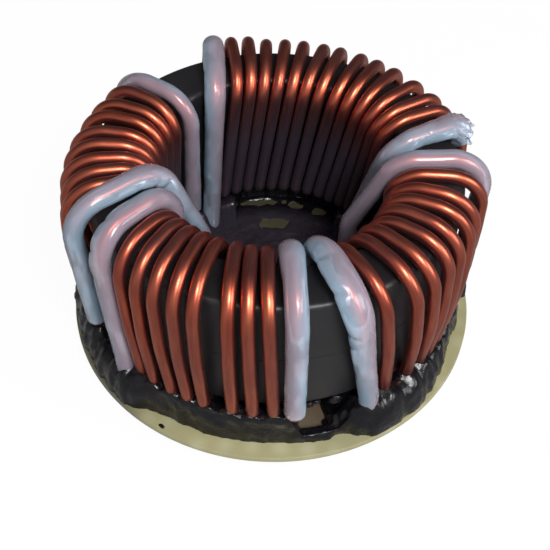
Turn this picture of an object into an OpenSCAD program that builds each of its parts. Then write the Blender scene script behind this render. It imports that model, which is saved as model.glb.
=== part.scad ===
// Common-mode choke: four enamelled-copper windings on a cased toroidal core,
// bedded in adhesive on a round laminate board. The wire ends leave through the
// board as solder pins, and each end turn wears a soft insulating sleeve.
//
// Frame: origin at the centre of the board's underside (the seating face),
// +Z up through the core's axis, -Y towards the front gap between windings.
// Azimuths are in degrees, anticlockwise from +X seen from above.

/* [Board] */
// Margin of the round laminate board beyond the case
board_margin = 6.8; // [5:0.2:12]
// Thickness of the board
board_t = 1.6; // [1:0.2:3.2]
// Radial clearance of a board hole around the bare wire
hole_gap = 0.25; // [0.1:0.05:0.5]

/* [Core case] */
// Outer diameter of the moulded case
case_od = 76.4; // [74:0.2:78]
// Width of the case ring, from its outer wall to its inner wall
ring_w = 10.7; // [9.5:0.1:12]
// Height of one case half
shell_h = 15; // [11:0.5:20]
// Wall thickness of the case
case_wall = 1.6; // [1.2:0.1:2.2]
// Outside edge radius of the case
edge_r = 1.2; // [0.6:0.1:1.5]
// Height of the lap joint between the halves
lap_h = 2.4; // [1.5:0.1:4]
// Play in the lap joint
lap_gap = 0.1; // [0.05:0.05:0.2]
// Height of the case's underside above the board
case_lift = 8.7; // [8:0.1:12]

/* [Core] */
// Clearance between the core ring and the case walls and lid
core_gap = 0.3; // [0.1:0.05:0.6]
// Bevel on the core ring's edges
core_bevel = 0.8; // [0.3:0.1:1.5]

/* [Wire] */
// Diameter of the enamelled wire
wire_d = 2.7; // [2:0.05:2.8]
// Play between a turn and the case it is wrapped round
wrap_gap = 0.25; // [0.15:0.05:0.5]
// Bend radius of the wire over the case's inner edge
inner_bend = 6.5; // [4:0.5:7]
// Length of each solder pin below the board
pin_l = 4; // [2.5:0.5:8]
// Thickness of the tinning on a pin
tin = 0.05; // [0.02:0.01:0.1]
// Length of the bevel on a pin's tip
pin_bevel = 0.5; // [0.2:0.1:0.8]

/* [Sleeves] */
// Outer diameter of the sleeving
sleeve_od = 4.4; // [3.8:0.1:4.6]
// Clearance of the sleeve's bore around the wire
sleeve_gap = 0.15; // [0.1:0.05:0.3]
// Play between a sleeved lead and the case
sleeve_play = 0.4; // [0.35:0.05:0.6]

/* [Adhesive] */
// Height of the adhesive rim above the board
glue_h = 8; // [4:0.2:10]
// How far the rim spreads beyond the outer legs, over its traced border
glue_spread = 1; // [0.8:0.05:1.2]
// Clearance between the adhesive and what is bedded in it
glue_gap = 0.2; // [0.1:0.05:0.4]

/* [Back winding] */
// Bare turns
back_turns = 13; // [9:1:13]
// Azimuth of the first turn's inner foot
back_inner = 41.5; // [0:0.1:360]
// Outward bow of the outer legs at half height
back_bow = 0.2; // [0:0.1:3]
// Bend radius of the wire over the case's outer edge
back_bend = 4.5; // [4:0.5:9]

/* [Left winding] */
// Bare turns
left_turns = 8; // [5:1:8]
// Azimuth of the first turn's inner foot
left_inner = 154.8; // [0:0.1:360]
// Outward bow of the outer legs at half height
left_bow = 1.2; // [0:0.1:3]
// Bend radius of the wire over the case's outer edge
left_bend = 7.5; // [4:0.5:9]

/* [Front winding] */
// Bare turns
front_turns = 8; // [5:1:8]
// Azimuth of the first turn's inner foot
front_inner = 226.6; // [0:0.1:360]
// Outward bow of the outer legs at half height
front_bow = 0.1; // [0:0.1:3]
// Bend radius of the wire over the case's outer edge
front_bend = 7.5; // [4:0.5:9]

/* [Right winding] */
// Bare turns
right_turns = 8; // [5:1:8]
// Azimuth of the first turn's inner foot
right_inner = 305.3; // [0:0.1:360]
// Outward bow of the outer legs at half height
right_bow = 0.5; // [0:0.1:3]
// Bend radius of the wire over the case's outer edge
right_bend = 7.5; // [4:0.5:9]

/* [Leads] */
// Height above the board at which a lead inside the well straightens into its pin
knee_h = 4; // [3:0.5:6]
// Height above the board at which the two hanging leads straighten
hang_h = 23; // [16:1:28]
// Distance of the two hanging leads from the core's axis
hang_r = 16; // [15:0.5:18]
// Height by which the left hanging lead rides up over the turns beside it
hang_climb = 2.8; // [2:0.1:3]
// Length of the torn end of the back sleeve, past the middle of its outer bend
torn_l = 0.6; // [0.3:0.1:1]

/* [Hidden] */

// Radii and heights of the case
case_ro = case_od / 2;
case_ri = case_ro - ring_w;
case_z0 = board_t + case_lift;
seam_z = case_z0 + shell_h;
case_z1 = seam_z + shell_h;
board_d = case_od + 2 * board_margin;

// How far a centre line stands off the case's faces where it rounds an edge with
// bend radius r and just clears the edge by its own offset
function stand(r, off) = r - edge_r - (r - edge_r - off) / sqrt(2);

// Centre lines of a bare turn: tight below the case, arched above it
wire_off = wire_d / 2 + wrap_gap;
wire_bend = edge_r + wire_off;
wire_ro = case_ro + wire_off;
wire_ri = case_ri - wire_off;
wire_z0 = case_z0 - wire_off;
wire_in = stand(inner_bend, wire_off);
bow_bend = 60;

// Centre lines of a sleeved turn
sleeve_off = sleeve_od / 2 + sleeve_play;
sleeve_ro = case_ro + sleeve_off;
sleeve_ri = case_ri - sleeve_off;
sleeve_in = stand(inner_bend, sleeve_off);
knee_bend = 6;
knee_z = board_t + knee_h;
// Outside the case a lead stands upright until it is clear of the adhesive rim
rim_clear = 1;
foot_z = board_t + glue_h + rim_clear;
hang_z = board_t + hang_h;
// Sleeves stop just above the bend into the run below the case
sleeve_stop = 0.4;
sleeve_z0 = wire_z0 + wire_bend + sleeve_stop;
// Bends are a hair thicker than the straights, whose ends run a little way into them
swell = 0.08;
lap = 0.1;
// Pitch in degrees at which neighbouring turns touch over the inner edge
touch = 2 * asin((wire_d + swell) / 2 / (case_ri - wire_in));

// Distance from the axis of a leg that hangs just inside the turns' inner legs
beside_r = case_ri - sleeve_od / 2 - wire_d - wrap_gap;

// Leads, counted from the end turn they continue, in mm along the case: outer foot,
// outer top, inner top, inner foot; the radius and height at which the inner leg
// straightens; then how far the outer corner is raised and pushed out, and how far
// the inner corner is raised and leans into the well
lead_back_right = [-12.11, -6.27, -7.39, -1.52, beside_r, wire_z0, 0.5, -1.05, 0, 0.6];
lead_back_left = [5.7, 3.99, 5.78, 4.09, sleeve_ri, knee_z, 0.5, 0.3, 0.4, 0];
lead_left_rear = [-4.63, -3.81, -3.74, -6.08, sleeve_ri, wire_z0, 0.1, 0, 0, 0.9];
lead_left_front = [5.7, 7.05, 1.87, -0.22, hang_r, hang_z, 0, 1.4, hang_climb, 0];
lead_front_left = [-4.41, -5.27, -3.67, -4, sleeve_ri, wire_z0, 0.7, -0.2, 0.7, 1.2];
lead_front_right = [4.13, 4.98, 4.3, 3.61, sleeve_ri, knee_z, 0.3, 0, 0.5, 0.5];
lead_right_front = [-4.7, -5.98, -3.82, -3.74, sleeve_ri, wire_z0, 0.2, 0.1, 0.5, 0.5];
lead_right_rear = [3.92, 5.2, 3.8, 3.48, hang_r, hang_z, 0.3, 0.5, 0.1, 0];

// Turns: azimuths of the outer foot and top; place of the inner top in wire widths
// from the first inner foot; then how far the top is raised, its outer corner pushed
// out and its inner corner leant into the well
back_rows = [
  [25.8, 24.9, -2.79, 0.4, -0.3, 0.5], [34, 31.4, -1.74, 0.3, 0, 0.5],
  [41.8, 39.5, -0.69, 0.5, -0.35, 0.3], [49.4, 48.6, 0.4, 0.5, -0.35, 0.1],
  [56.9, 55.6, 1.64, 0.4, -0.3, 0.1], [63.9, 61.9, 2.8, 0.1, 0.1, 0.2],
  [70.9, 69.3, 4.1, 0.1, 0.1, 0.2], [77.8, 75, 5.29, 0.1, 0, 0.1],
  [84.2, 82, 6.35, 0.1, 0, 0.1], [90.5, 88.2, 7.49, 0.1, 0, 0.1],
  [96.7, 94.6, 8.58, 0.1, 0, 0.1], [102.1, 100.6, 9.62, 0.6, 0.6, 0.1],
  [107.4, 106.2, 10.76, 0.8, 0.8, 0.2]
];
left_rows = [
  [153.7, 150.4, -0.69, 0.1, 0.4, 0.3], [161, 158.5, 0.36, 0.1, 0.2, 0.2],
  [167.4, 164.7, 1.49, 0.15, 0.2, 0.1], [172.8, 173, 2.69, 0.15, 0.4, 0],
  [179, 179.4, 3.75, 0.2, 0.5, 0], [185.3, 186.2, 4.81, 0.15, 0.6, 0],
  [191.7, 192, 5.82, 0.1, 0.5, 0], [198.4, 198, 6.85, 0.1, 0.9, 0]
];
front_rows = [
  [230.1, 226.3, -0.98, 0.5, -0.5, 0.5], [234.9, 233.2, 0.03, 0.6, -0.1, 0.6],
  [241.4, 239, 1.04, 0.6, 0.1, 0.7], [246.6, 245.1, 2.07, 0.7, 0.3, 0.8],
  [251.6, 250.6, 3.13, 0.6, 0.3, 0.8], [260, 259.5, 4.3, 0.8, 0.1, 0.9],
  [265.9, 264.4, 5.33, 0.8, 0, 0.9], [271.9, 269.5, 6.35, 0.9, 0, 0.9]
];
right_rows = [
  [306.2, 299.4, -1.4, 0, -0.1, 0], [314.8, 308.2, 0.11, 0, 0.6, 0.1],
  [320.8, 314.6, 1.14, 0.3, 0.5, 0.5], [325.4, 322.7, 2.16, 0.2, -0.1, 0.3],
  [330.2, 328.4, 3.32, 0.5, -0.1, 0.8], [337.6, 336, 4.33, 0.5, -0.2, 1.1],
  [344.6, 342.2, 5.5, 0.4, -0.3, 1.1], [352, 351.6, 6.51, 0.5, 0.4, 1.7]
];

back = [
  back_turns, back_inner, back_rows, lead_back_right, lead_back_left, back_bow, back_bend
];
left = [
  left_turns, left_inner, left_rows, lead_left_rear, lead_left_front, left_bow, left_bend
];
front = [
  front_turns, front_inner, front_rows, lead_front_left, lead_front_right, front_bow,
  front_bend
];
right = [
  right_turns, right_inner, right_rows, lead_right_front, lead_right_rear, right_bow,
  right_bend
];

// ---- Paths ---------------------------------------------------------------

function at(r, az, z) = [r * cos(az), r * sin(az), z];

// Degrees of azimuth for a length along a circle
function arc(length, r) = length / r * 180 / PI;

// Azimuths of bare turn k of a winding: outer foot, outer top, inner top, inner foot
function turn_az(w, k) =
  let (r = w[2][k])
  [r[0], r[1], w[1] + r[2] * touch, w[1] + k * touch];

// Azimuths of a lead, counted from the end turn it continues
function lead_az(w, end) =
  let (t = turn_az(w, end == 0 ? 0 : w[0] - 1), d = w[3 + end])
  [for (i = [0:3]) t[i] + arc(d[i], i < 2 ? sleeve_ro : sleeve_ri)];

// One bare turn, from the outer foot over the top to the inner foot
function bare_turn(w, k) =
  let (
    a = turn_az(w, k), r = w[2][k], up = r[3], lean = r[5],
    out = stand(w[6], wire_off) + r[4], top = stand(w[6], wire_off) + up
  )
  [
    [at(wire_ro, a[0], wire_z0), wire_bend],
    [at(case_ro + out + w[5], (a[0] + a[1]) / 2, seam_z), bow_bend],
    [at(case_ro + out, a[1], case_z1 + top), w[6]],
    [at(case_ri - wire_in - lean, a[2], case_z1 + wire_in + up), inner_bend],
    [at(wire_ri, a[3], wire_z0), wire_bend]
  ];

// The arch of a lead over the case, alike on both ends of a winding
function lead_arch(w, a, d) =
  let (out = stand(w[6], sleeve_off))
  [
    [at(case_ro + out + d[7], a[1], case_z1 + out + d[6]), w[6]],
    [at(case_ri - sleeve_in - d[9], a[2], case_z1 + sleeve_in + d[8]), inner_bend]
  ];

// The first lead climbs from its pin outside the case and ends below the well
function first_lead(w) =
  let (a = lead_az(w, 0), d = w[3])
  concat(
    [[at(sleeve_ro, a[0], foot_z), knee_bend]],
    lead_arch(w, a, d),
    [[at(d[4], a[3], wire_z0), wire_bend]]
  );

// The last lead climbs outside the case and drops to its pin inside the well
function last_lead(w) =
  let (a = lead_az(w, 1), d = w[4])
  concat(
    [[at(sleeve_ro, a[0], wire_z0), wire_bend]],
    lead_arch(w, a, d),
    [[at(d[4], a[3], d[5]), knee_bend]]
  );

// The tinning fades out within the board
tin_z = board_t / 2;
function foot(p, z) = [p[0], p[1], z];
function level(a, b, z) = a + (b - a) * (z - a[2]) / (b[2] - a[2]);

// A whole winding, pin tip to pin tip
function winding_path(w) =
  let (s = first_lead(w), e = last_lead(w))
  concat(
    [[foot(s[0][0], tin_z / 2), 0]], s,
    [for (k = [0 : w[0] - 1]) each bare_turn(w, k)],
    e, [[foot(e[3][0], tin_z / 2), 0]]
  );

// The stretch of each lead that wears a sleeve
function first_sleeve(w) =
  let (s = first_lead(w))
  [[foot(s[0][0], board_t), 0], s[0], s[1], s[2], [level(s[2][0], s[3][0], sleeve_z0), 0]];
function last_sleeve(w) =
  let (e = last_lead(w))
  [[level(e[0][0], e[1][0], sleeve_z0), 0], e[1], e[2], e[3], [foot(e[3][0], board_t), 0]];

// A first lead's sleeve torn off at the middle of the bend over the outer edge, so
// that the outer leg below it is bare
function torn_sleeve(w) =
  let (
    s = first_lead(w), u = dir(s, 0), v = dir(s, 1), turn = bend_angle(s, 1),
    half = s[1][1] * tan(turn / 4), end = s[1][0] + v * (setback(s, 1) - half)
  )
  [
    [end - unit(u + v) * (half + torn_l), 0], [end, s[1][1]], s[2],
    [level(s[2][0], s[3][0], sleeve_z0), 0]
  ];

// Board holes: one below each pin
function pin_spots(w) = [first_lead(w)[0][0], last_lead(w)[3][0]];
all_spots = [for (w = [back, left, front, right]) each pin_spots(w)];

// ---- Round stock swept along a path of [point, bend radius] ---------------

function unit(v) = v / norm(v);
function dir(p, i) = unit(p[i + 1][0] - p[i][0]);
function bend_angle(p, i) = acos(min(1, dir(p, i - 1) * dir(p, i)));
function setback(p, i) =
  i == 0 || i == len(p) - 1 ? 0 : p[i][1] * tan(bend_angle(p, i) / 2);

// Carries children from the origin to o, with its X, Y and Z along x, y and z
module place(x, y, z, o) {
  multmatrix([
    [x[0], y[0], z[0], o[0]],
    [x[1], y[1], z[1], o[1]],
    [x[2], y[2], z[2], o[2]],
    [0, 0, 0, 1]
  ]) children();
}

module straight(a, b, d) {
  z = unit(b - a);
  x = unit(cross(z, abs(z[2]) > 0.8 ? [0, 1, 0] : [0, 0, 1]));
  place(x, cross(z, x), z, a) cylinder(d = d, h = norm(b - a), $fn = 48);
}

module bend(p, i, d) {
  t = dir(p, i - 1);
  n = unit(dir(p, i) - t * (t * dir(p, i)));
  r = p[i][1];
  start = p[i][0] - t * setback(p, i);
  place(-n, t, cross(-n, t), start + r * n)
    rotate_extrude(angle = bend_angle(p, i), $fn = 60)
      translate([r, 0]) circle(d = d, $fn = 48);
}

module sweep(p, d) {
  last = len(p) - 1;
  for (i = [0 : last - 1]) {
    u = dir(p, i);
    straight(
      p[i][0] + (setback(p, i) - (i == 0 ? 0 : lap)) * u,
      p[i + 1][0] - (setback(p, i + 1) - (i == last - 1 ? 0 : lap)) * u,
      d
    );
  }
  for (i = [1 : last - 1]) bend(p, i, d + swell);
}

// The same path, run on by e at both ends
function run_on(p, e) =
  let (n = len(p) - 1)
  [for (i = [0 : n])
    i == 0 ? [p[0][0] - e * dir(p, 0), 0] :
    i == n ? [p[n][0] + e * dir(p, n - 1), 0] : p[i]];

// ---- Pieces ----------------------------------------------------------------

module base_plate() {
  color("darkkhaki")
    difference() {
      cylinder(d = board_d, h = board_t, $fn = 120);
      for (s = all_spots)
        translate([s[0], s[1], -1])
          cylinder(d = wire_d + 2 * hole_gap, h = board_t + 2, $fn = 48);
    }
}

// Half section of one case half: a trough with rounded outside edges and half
// the wall's thickness left or taken at the rim for the lap joint
module trough(lap_inside) {
  w = (case_wall - lap_gap) / 2;
  difference() {
    union() {
      translate([case_ri, edge_r]) square([case_ro - case_ri, shell_h - edge_r]);
      translate([case_ri + edge_r, 0])
        square([case_ro - case_ri - 2 * edge_r, edge_r]);
      for (x = [case_ri + edge_r, case_ro - edge_r])
        translate([x, edge_r]) circle(r = edge_r, $fn = 48);
    }
    translate([case_ri + case_wall, case_wall])
      square([case_ro - case_ri - 2 * case_wall, shell_h]);
    if (!lap_inside)
      translate([case_ri + case_wall - w - lap_gap, shell_h - lap_h - lap_gap])
        square([case_ro - case_ri - 2 * (case_wall - w - lap_gap), lap_h + 1]);
  }
  if (lap_inside)
    for (x = [case_ri + case_wall - w, case_ro - case_wall])
      translate([x, shell_h - edge_r]) square([w, lap_h + edge_r]);
}

module core_case_lower() {
  color("dimgray")
    translate([0, 0, case_z0])
      rotate_extrude($fn = 120) trough(true);
}

module core_case_upper() {
  color("dimgray")
    translate([0, 0, case_z1]) mirror([0, 0, 1])
      rotate_extrude($fn = 120) trough(false);
}

module core() {
  r0 = case_ri + case_wall + core_gap;
  r1 = case_ro - case_wall - core_gap;
  h = 2 * (shell_h - case_wall) - core_gap;
  b = core_bevel;
  color("gray")
    translate([0, 0, case_z0 + case_wall])
      rotate_extrude($fn = 120)
        polygon([
          [r0 + b, 0], [r1 - b, 0], [r1, b], [r1, h - b],
          [r1 - b, h], [r0 + b, h], [r0, h - b], [r0, b]
        ]);
}

module winding(w) {
  color([0.72, 0.36, 0.26]) {
    sweep(winding_path(w), wire_d);
    for (s = pin_spots(w)) translate([s[0], s[1], 0]) pin();
  }
}

// The tinned end of a wire, from its bevelled tip up into the board
module pin() {
  d = wire_d + 2 * tin;
  translate([0, 0, -pin_l])
    cylinder(d1 = d - 2 * pin_bevel, d2 = d, h = pin_bevel, $fn = 48);
  translate([0, 0, pin_bevel - pin_l])
    cylinder(d = d, h = pin_l - pin_bevel, $fn = 48);
  cylinder(d1 = d, d2 = wire_d + 0.02, h = tin_z, $fn = 48);
}

module sleeve(p) {
  color([0.8, 0.82, 0.85])
    difference() {
      sweep(p, sleeve_od);
      sweep(run_on(p, 1), wire_d + 2 * sleeve_gap);
    }
}

// Adhesive: a bed below the windings with a rim banked up outside the legs. The
// border on the board wanders: azimuth and distance beyond the legs
glue_edge = [
  [0, 2.6], [18, 2.2], [40, 2.8], [75, 2.4], [110, 2.8], [150, 2.5], [185, 2.8],
  [212, 2.2], [223, 2.5], [228, 2.7], [234, 1], [242, 0.5], [248, 0.4], [252, 0.7],
  [257, 0.4], [263, 0.6], [267, 0.4], [271, 0.4], [276, 0.5], [286, 0.7], [292, 0.6],
  [298, 2.2], [301, 2.8], [319, 2.5], [332, 1.2], [342, 0.6], [346, 1.3], [351, 0.5],
  [358, 0.8], [360, 2.6]
];
// Behind the well the bed stops short and leaves the board bare below the case
glue_short = [[52, 0], [62, 6], [106, 6], [114, 0]];
// In the front gap, where no turn is bedded, the bank is low: azimuth and share of
// its full height; below the case the board shows there through a pocket
glue_level = [[276, 1], [280, 0.25], [291, 0.25], [296, 1]];
pocket_az = [279.5, 289.5];
pocket_w = 8;
pocket_out = 1; // how far the pocket reaches out beyond the case
glue_steps = 120;
leg_clear = 0.9; // past the legs, which lean out as they rise
well_toe = 0.8; // width of the bed's toe inside the turns
toe_h = 1.5;
rim_round = 1.2; // drop of the rim's rounded shoulder
glue_top = wire_z0 - wire_d / 2 - glue_gap;
rim_r0 = wire_ro + wire_d / 2 + leg_clear;
function glue_wave(a) =
  0.35 * sin(3 * a + 40) + 0.2 * sin(7 * a) + 0.15 * sin(13 * a + 80);
function glue_ring(a) =
  let (
    q = glue_wave(a), short = lookup(a, glue_short), level = lookup(a, glue_level),
    rim = glue_spread * lookup(a, glue_edge), h = board_t + level * (glue_h + q / 2),
    top = board_t + level * (glue_top - board_t)
  )
  [
    at(wire_ri - wire_d - well_toe + q / 2 + short, a, board_t),
    at(wire_ri - wire_d / 2 + q / 3 + short, a, board_t + level * toe_h),
    at(wire_ri + short, a, top),
    at(rim_r0, a, top),
    at(rim_r0, a, h),
    at(rim_r0 + 0.5 * rim, a, h - level * rim_round),
    at(rim_r0 + 0.85 * rim, a, board_t + level * 0.45 * glue_h),
    at(rim_r0 + rim, a, board_t)
  ];

module adhesive() {
  n = 8;
  points = [for (i = [0 : glue_steps - 1]) each glue_ring(i * 360 / glue_steps)];
  function id(i, j) = (i % glue_steps) * n + j % n;
  faces = [
    for (i = [0 : glue_steps - 1], j = [0 : n - 1])
      each [
        [id(i, j), id(i, j + 1), id(i + 1, j + 1)],
        [id(i, j), id(i + 1, j + 1), id(i + 1, j)]
      ]
  ];
  color([0.17, 0.15, 0.16])
    difference() {
      polyhedron(points, faces);
      rotate(pocket_az[0])
        rotate_extrude(angle = pocket_az[1] - pocket_az[0], $fn = 120)
          translate([case_ro + pocket_out - pocket_w, 0])
            square([pocket_w, board_t + glue_h]);
      for (s = all_spots)
        translate([s[0], s[1], 0])
          cylinder(
            d = (s == all_spots[0] ? wire_d : sleeve_od) + 3 * glue_gap,
            h = board_t + glue_h + 4, $fn = 40
          );
    }
}

base_plate();
adhesive();
core_case_lower();
core_case_upper();
core();
winding(back);  // winding_back
winding(left);  // winding_left
winding(front);  // winding_front
winding(right);  // winding_right
sleeve(torn_sleeve(back));  // sleeve_back_right
sleeve(last_sleeve(back));  // sleeve_back_left
sleeve(first_sleeve(left));  // sleeve_left_rear
sleeve(last_sleeve(left));  // sleeve_left_front
sleeve(first_sleeve(front));  // sleeve_front_left
sleeve(last_sleeve(front));  // sleeve_front_right
sleeve(first_sleeve(right));  // sleeve_right_front
sleeve(last_sleeve(right));  // sleeve_right_rear
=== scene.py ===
# %% [markdown]
# # A common-mode choke on its board
#
# This part is a power-line filter: four windings of enamelled copper wire on a
# ring core, bedded in black adhesive on a round board. The CAD solids give every
# size and place. This scene makes the same forms again, finer and with the marks
# that hand winding leaves, and gives them their finishes.
#
# We load the CAD part first, so that each new piece can be set against it.

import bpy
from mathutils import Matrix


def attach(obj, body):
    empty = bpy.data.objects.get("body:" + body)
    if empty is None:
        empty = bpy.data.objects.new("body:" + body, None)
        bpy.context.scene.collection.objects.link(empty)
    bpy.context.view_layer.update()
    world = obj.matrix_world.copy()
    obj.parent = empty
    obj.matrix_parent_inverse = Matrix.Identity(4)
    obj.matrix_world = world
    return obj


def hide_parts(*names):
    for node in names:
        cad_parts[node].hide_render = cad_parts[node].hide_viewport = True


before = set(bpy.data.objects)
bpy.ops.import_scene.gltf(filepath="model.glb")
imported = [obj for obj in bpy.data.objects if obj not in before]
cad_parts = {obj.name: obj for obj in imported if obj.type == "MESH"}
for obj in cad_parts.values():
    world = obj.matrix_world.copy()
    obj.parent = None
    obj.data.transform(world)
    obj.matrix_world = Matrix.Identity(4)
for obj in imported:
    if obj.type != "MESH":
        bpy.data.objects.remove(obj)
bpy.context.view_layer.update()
print("CAD nodes:", ", ".join(sorted(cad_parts)))

# %% [markdown]
# ## Sizes
#
# Lengths are in millimetres, as on a drawing, and each piece is scaled to metres
# once, when it is finished. The numbers are those of the CAD part: a board of
# 90 mm, a moulded case, and wire of 2.7 mm.

# %% Sizes of the part
import math

import bmesh
import bpy
from mathutils import Matrix, Vector, noise

MM = 0.001
CASE_OD, RING_W, SHELL_H, CASE_WALL, EDGE_R = 76.4, 10.7, 15, 1.6, 1.2
LIP_H, LIP_T, LAP_GAP = 2.4, 0.75, 0.1
BOARD_MARGIN, BOARD_T, HOLE_GAP = 6.8, 1.6, 0.25
BOARD_D = CASE_OD + 2 * BOARD_MARGIN
CASE_LIFT = 8.7
WIRE_D, WRAP_GAP, SWELL = 2.7, 0.25, 0.08      # a bend is wider than a straight by the swell
INNER_BEND, BOW_BEND, KNEE_BEND = 6.5, 60, 6
PIN_L, TIN, PIN_BEVEL = 4, 0.05, 0.5
SLEEVE_OD, SLEEVE_GAP, SLEEVE_PLAY, SLEEVE_STOP = 4.4, 0.15, 0.4, 0.4
GLUE_H, RIM_CLEAR, TORN_L = 8, 1, 0.6

case_ro, case_ri = CASE_OD / 2, CASE_OD / 2 - RING_W
case_z0 = BOARD_T + CASE_LIFT
seam_z = case_z0 + SHELL_H
case_z1 = seam_z + SHELL_H
print(f"the case spans z {case_z0} to {case_z1} mm")


# %% [markdown]
# ## The route of the wire
#
# Each winding is one wire, from a solder pin, over and under the ring turn by
# turn, to a second pin. We describe it as a maker would: corner points round the
# case, each with its bend radius. Azimuths are in degrees round the ring.

# %% Where a turn goes
def at(r, azimuth, z):
    a = math.radians(azimuth)
    return Vector((r * math.cos(a), r * math.sin(a), z))


def stand(r, off):
    """How far a corner point stands off the case where the wire rounds an edge with bend radius r."""
    return r - EDGE_R - (r - EDGE_R - off) / math.sqrt(2)


wire_off = WIRE_D / 2 + WRAP_GAP
wire_bend = EDGE_R + wire_off
wire_ro, wire_ri = case_ro + wire_off, case_ri - wire_off
wire_z0 = case_z0 - wire_off
wire_in = stand(INNER_BEND, wire_off)
sleeve_off = SLEEVE_OD / 2 + SLEEVE_PLAY
sleeve_ro, sleeve_ri = case_ro + sleeve_off, case_ri - sleeve_off
sleeve_in = stand(INNER_BEND, sleeve_off)
foot_z = BOARD_T + GLUE_H + RIM_CLEAR
beside_r = case_ri - SLEEVE_OD / 2 - WIRE_D - WRAP_GAP
knee_z = BOARD_T + 4                       # where a lead down the well's wall straightens
hang_r, hang_z = 16, BOARD_T + 23          # and one that hangs free in the well
sleeve_z0 = wire_z0 + wire_bend + SLEEVE_STOP
touch = 2 * math.degrees(math.asin((WIRE_D + SWELL) / 2 / (case_ri - wire_in)))
print(f"turns touch over the inner edge at a pitch of {touch:.2f} degrees")

# %% The four windings
# A turn gives the azimuths of its outer foot and top, the place of its inner top in
# wire widths from the first inner foot, and how far its top is raised, its outer
# corner pushed out and its inner corner leant into the well. A lead gives its
# distance in mm from the end turn at outer foot, outer top, inner top and inner
# foot, the radius and height at which its inner leg straightens, and how far its
# outer corner is raised and pushed out, its inner one raised and leant inwards.
WINDINGS = {
    "back": dict(
        inner=41.5, bow=0.2, bend=4.5,
        turns=[
            (25.8, 24.9, -2.79, 0.4, -0.3, 0.5), (34, 31.4, -1.74, 0.3, 0, 0.5),
            (41.8, 39.5, -0.69, 0.5, -0.35, 0.3), (49.4, 48.6, 0.4, 0.5, -0.35, 0.1),
            (56.9, 55.6, 1.64, 0.4, -0.3, 0.1), (63.9, 61.9, 2.8, 0.1, 0.1, 0.2),
            (70.9, 69.3, 4.1, 0.1, 0.1, 0.2), (77.8, 75, 5.29, 0.1, 0, 0.1),
            (84.2, 82, 6.35, 0.1, 0, 0.1), (90.5, 88.2, 7.49, 0.1, 0, 0.1),
            (96.7, 94.6, 8.58, 0.1, 0, 0.1), (102.1, 100.6, 9.62, 0.6, 0.6, 0.1),
            (107.4, 106.2, 10.76, 0.8, 0.8, 0.2)],
        first=(-12.11, -6.27, -7.39, -1.52, beside_r, wire_z0, 0.5, -1.05, 0, 0.6),
        last=(5.7, 3.99, 5.78, 4.09, sleeve_ri, knee_z, 0.5, 0.3, 0.4, 0)),
    "left": dict(
        inner=154.8, bow=1.2, bend=7.5,
        turns=[
            (153.7, 150.4, -0.69, 0.1, 0.4, 0.3), (161, 158.5, 0.36, 0.1, 0.2, 0.2),
            (167.4, 164.7, 1.49, 0.15, 0.2, 0.1), (172.8, 173, 2.69, 0.15, 0.4, 0),
            (179, 179.4, 3.75, 0.2, 0.5, 0), (185.3, 186.2, 4.81, 0.15, 0.6, 0),
            (191.7, 192, 5.82, 0.1, 0.5, 0), (198.4, 198, 6.85, 0.1, 0.9, 0)],
        first=(-4.63, -3.81, -3.74, -6.08, sleeve_ri, wire_z0, 0.1, 0, 0, 0.9),
        last=(5.7, 7.05, 1.87, -0.22, hang_r, hang_z, 0, 1.4, 2.8, 0)),
    "front": dict(
        inner=226.6, bow=0.1, bend=7.5,
        turns=[
            (230.1, 226.3, -0.98, 0.5, -0.5, 0.5), (234.9, 233.2, 0.03, 0.6, -0.1, 0.6),
            (241.4, 239, 1.04, 0.6, 0.1, 0.7), (246.6, 245.1, 2.07, 0.7, 0.3, 0.8),
            (251.6, 250.6, 3.13, 0.6, 0.3, 0.8), (260, 259.5, 4.3, 0.8, 0.1, 0.9),
            (265.9, 264.4, 5.33, 0.8, 0, 0.9), (271.9, 269.5, 6.35, 0.9, 0, 0.9)],
        first=(-4.41, -5.27, -3.67, -4, sleeve_ri, wire_z0, 0.7, -0.2, 0.7, 1.2),
        last=(4.13, 4.98, 4.3, 3.61, sleeve_ri, knee_z, 0.3, 0, 0.5, 0.5)),
    "right": dict(
        inner=305.3, bow=0.5, bend=7.5,
        turns=[
            (306.2, 299.4, -1.4, 0, -0.1, 0), (314.8, 308.2, 0.11, 0, 0.6, 0.1),
            (320.8, 314.6, 1.14, 0.3, 0.5, 0.5), (325.4, 322.7, 2.16, 0.2, -0.1, 0.3),
            (330.2, 328.4, 3.32, 0.5, -0.1, 0.8), (337.6, 336, 4.33, 0.5, -0.2, 1.1),
            (344.6, 342.2, 5.5, 0.4, -0.3, 1.1), (352, 351.6, 6.51, 0.5, 0.4, 1.7)],
        first=(-4.7, -5.98, -3.82, -3.74, sleeve_ri, wire_z0, 0.2, 0.1, 0.5, 0.5),
        last=(3.92, 5.2, 3.8, 3.48, hang_r, hang_z, 0.3, 0.5, 0.1, 0)),
}


# %% Corners of the route
def turn_azimuths(w, k):
    turn = w["turns"][k]
    return [turn[0], turn[1], w["inner"] + turn[2] * touch, w["inner"] + k * touch]


def lead_azimuths(w, end):
    turn = turn_azimuths(w, 0 if end == "first" else len(w["turns"]) - 1)
    radii = (sleeve_ro, sleeve_ro, sleeve_ri, sleeve_ri)
    return [t + math.degrees(d / r) for t, d, r in zip(turn, w[end], radii)]


def bare_turn(w, k):
    a = turn_azimuths(w, k)
    up, push, lean = w["turns"][k][3:]
    out = stand(w["bend"], wire_off)
    return [
        (at(wire_ro, a[0], wire_z0), wire_bend),
        (at(case_ro + out + push + w["bow"], (a[0] + a[1]) / 2, seam_z), BOW_BEND),
        (at(case_ro + out + push, a[1], case_z1 + out + up), w["bend"]),
        (at(case_ri - wire_in - lean, a[2], case_z1 + wire_in + up), INNER_BEND),
        (at(wire_ri, a[3], wire_z0), wire_bend),
    ]


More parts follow.
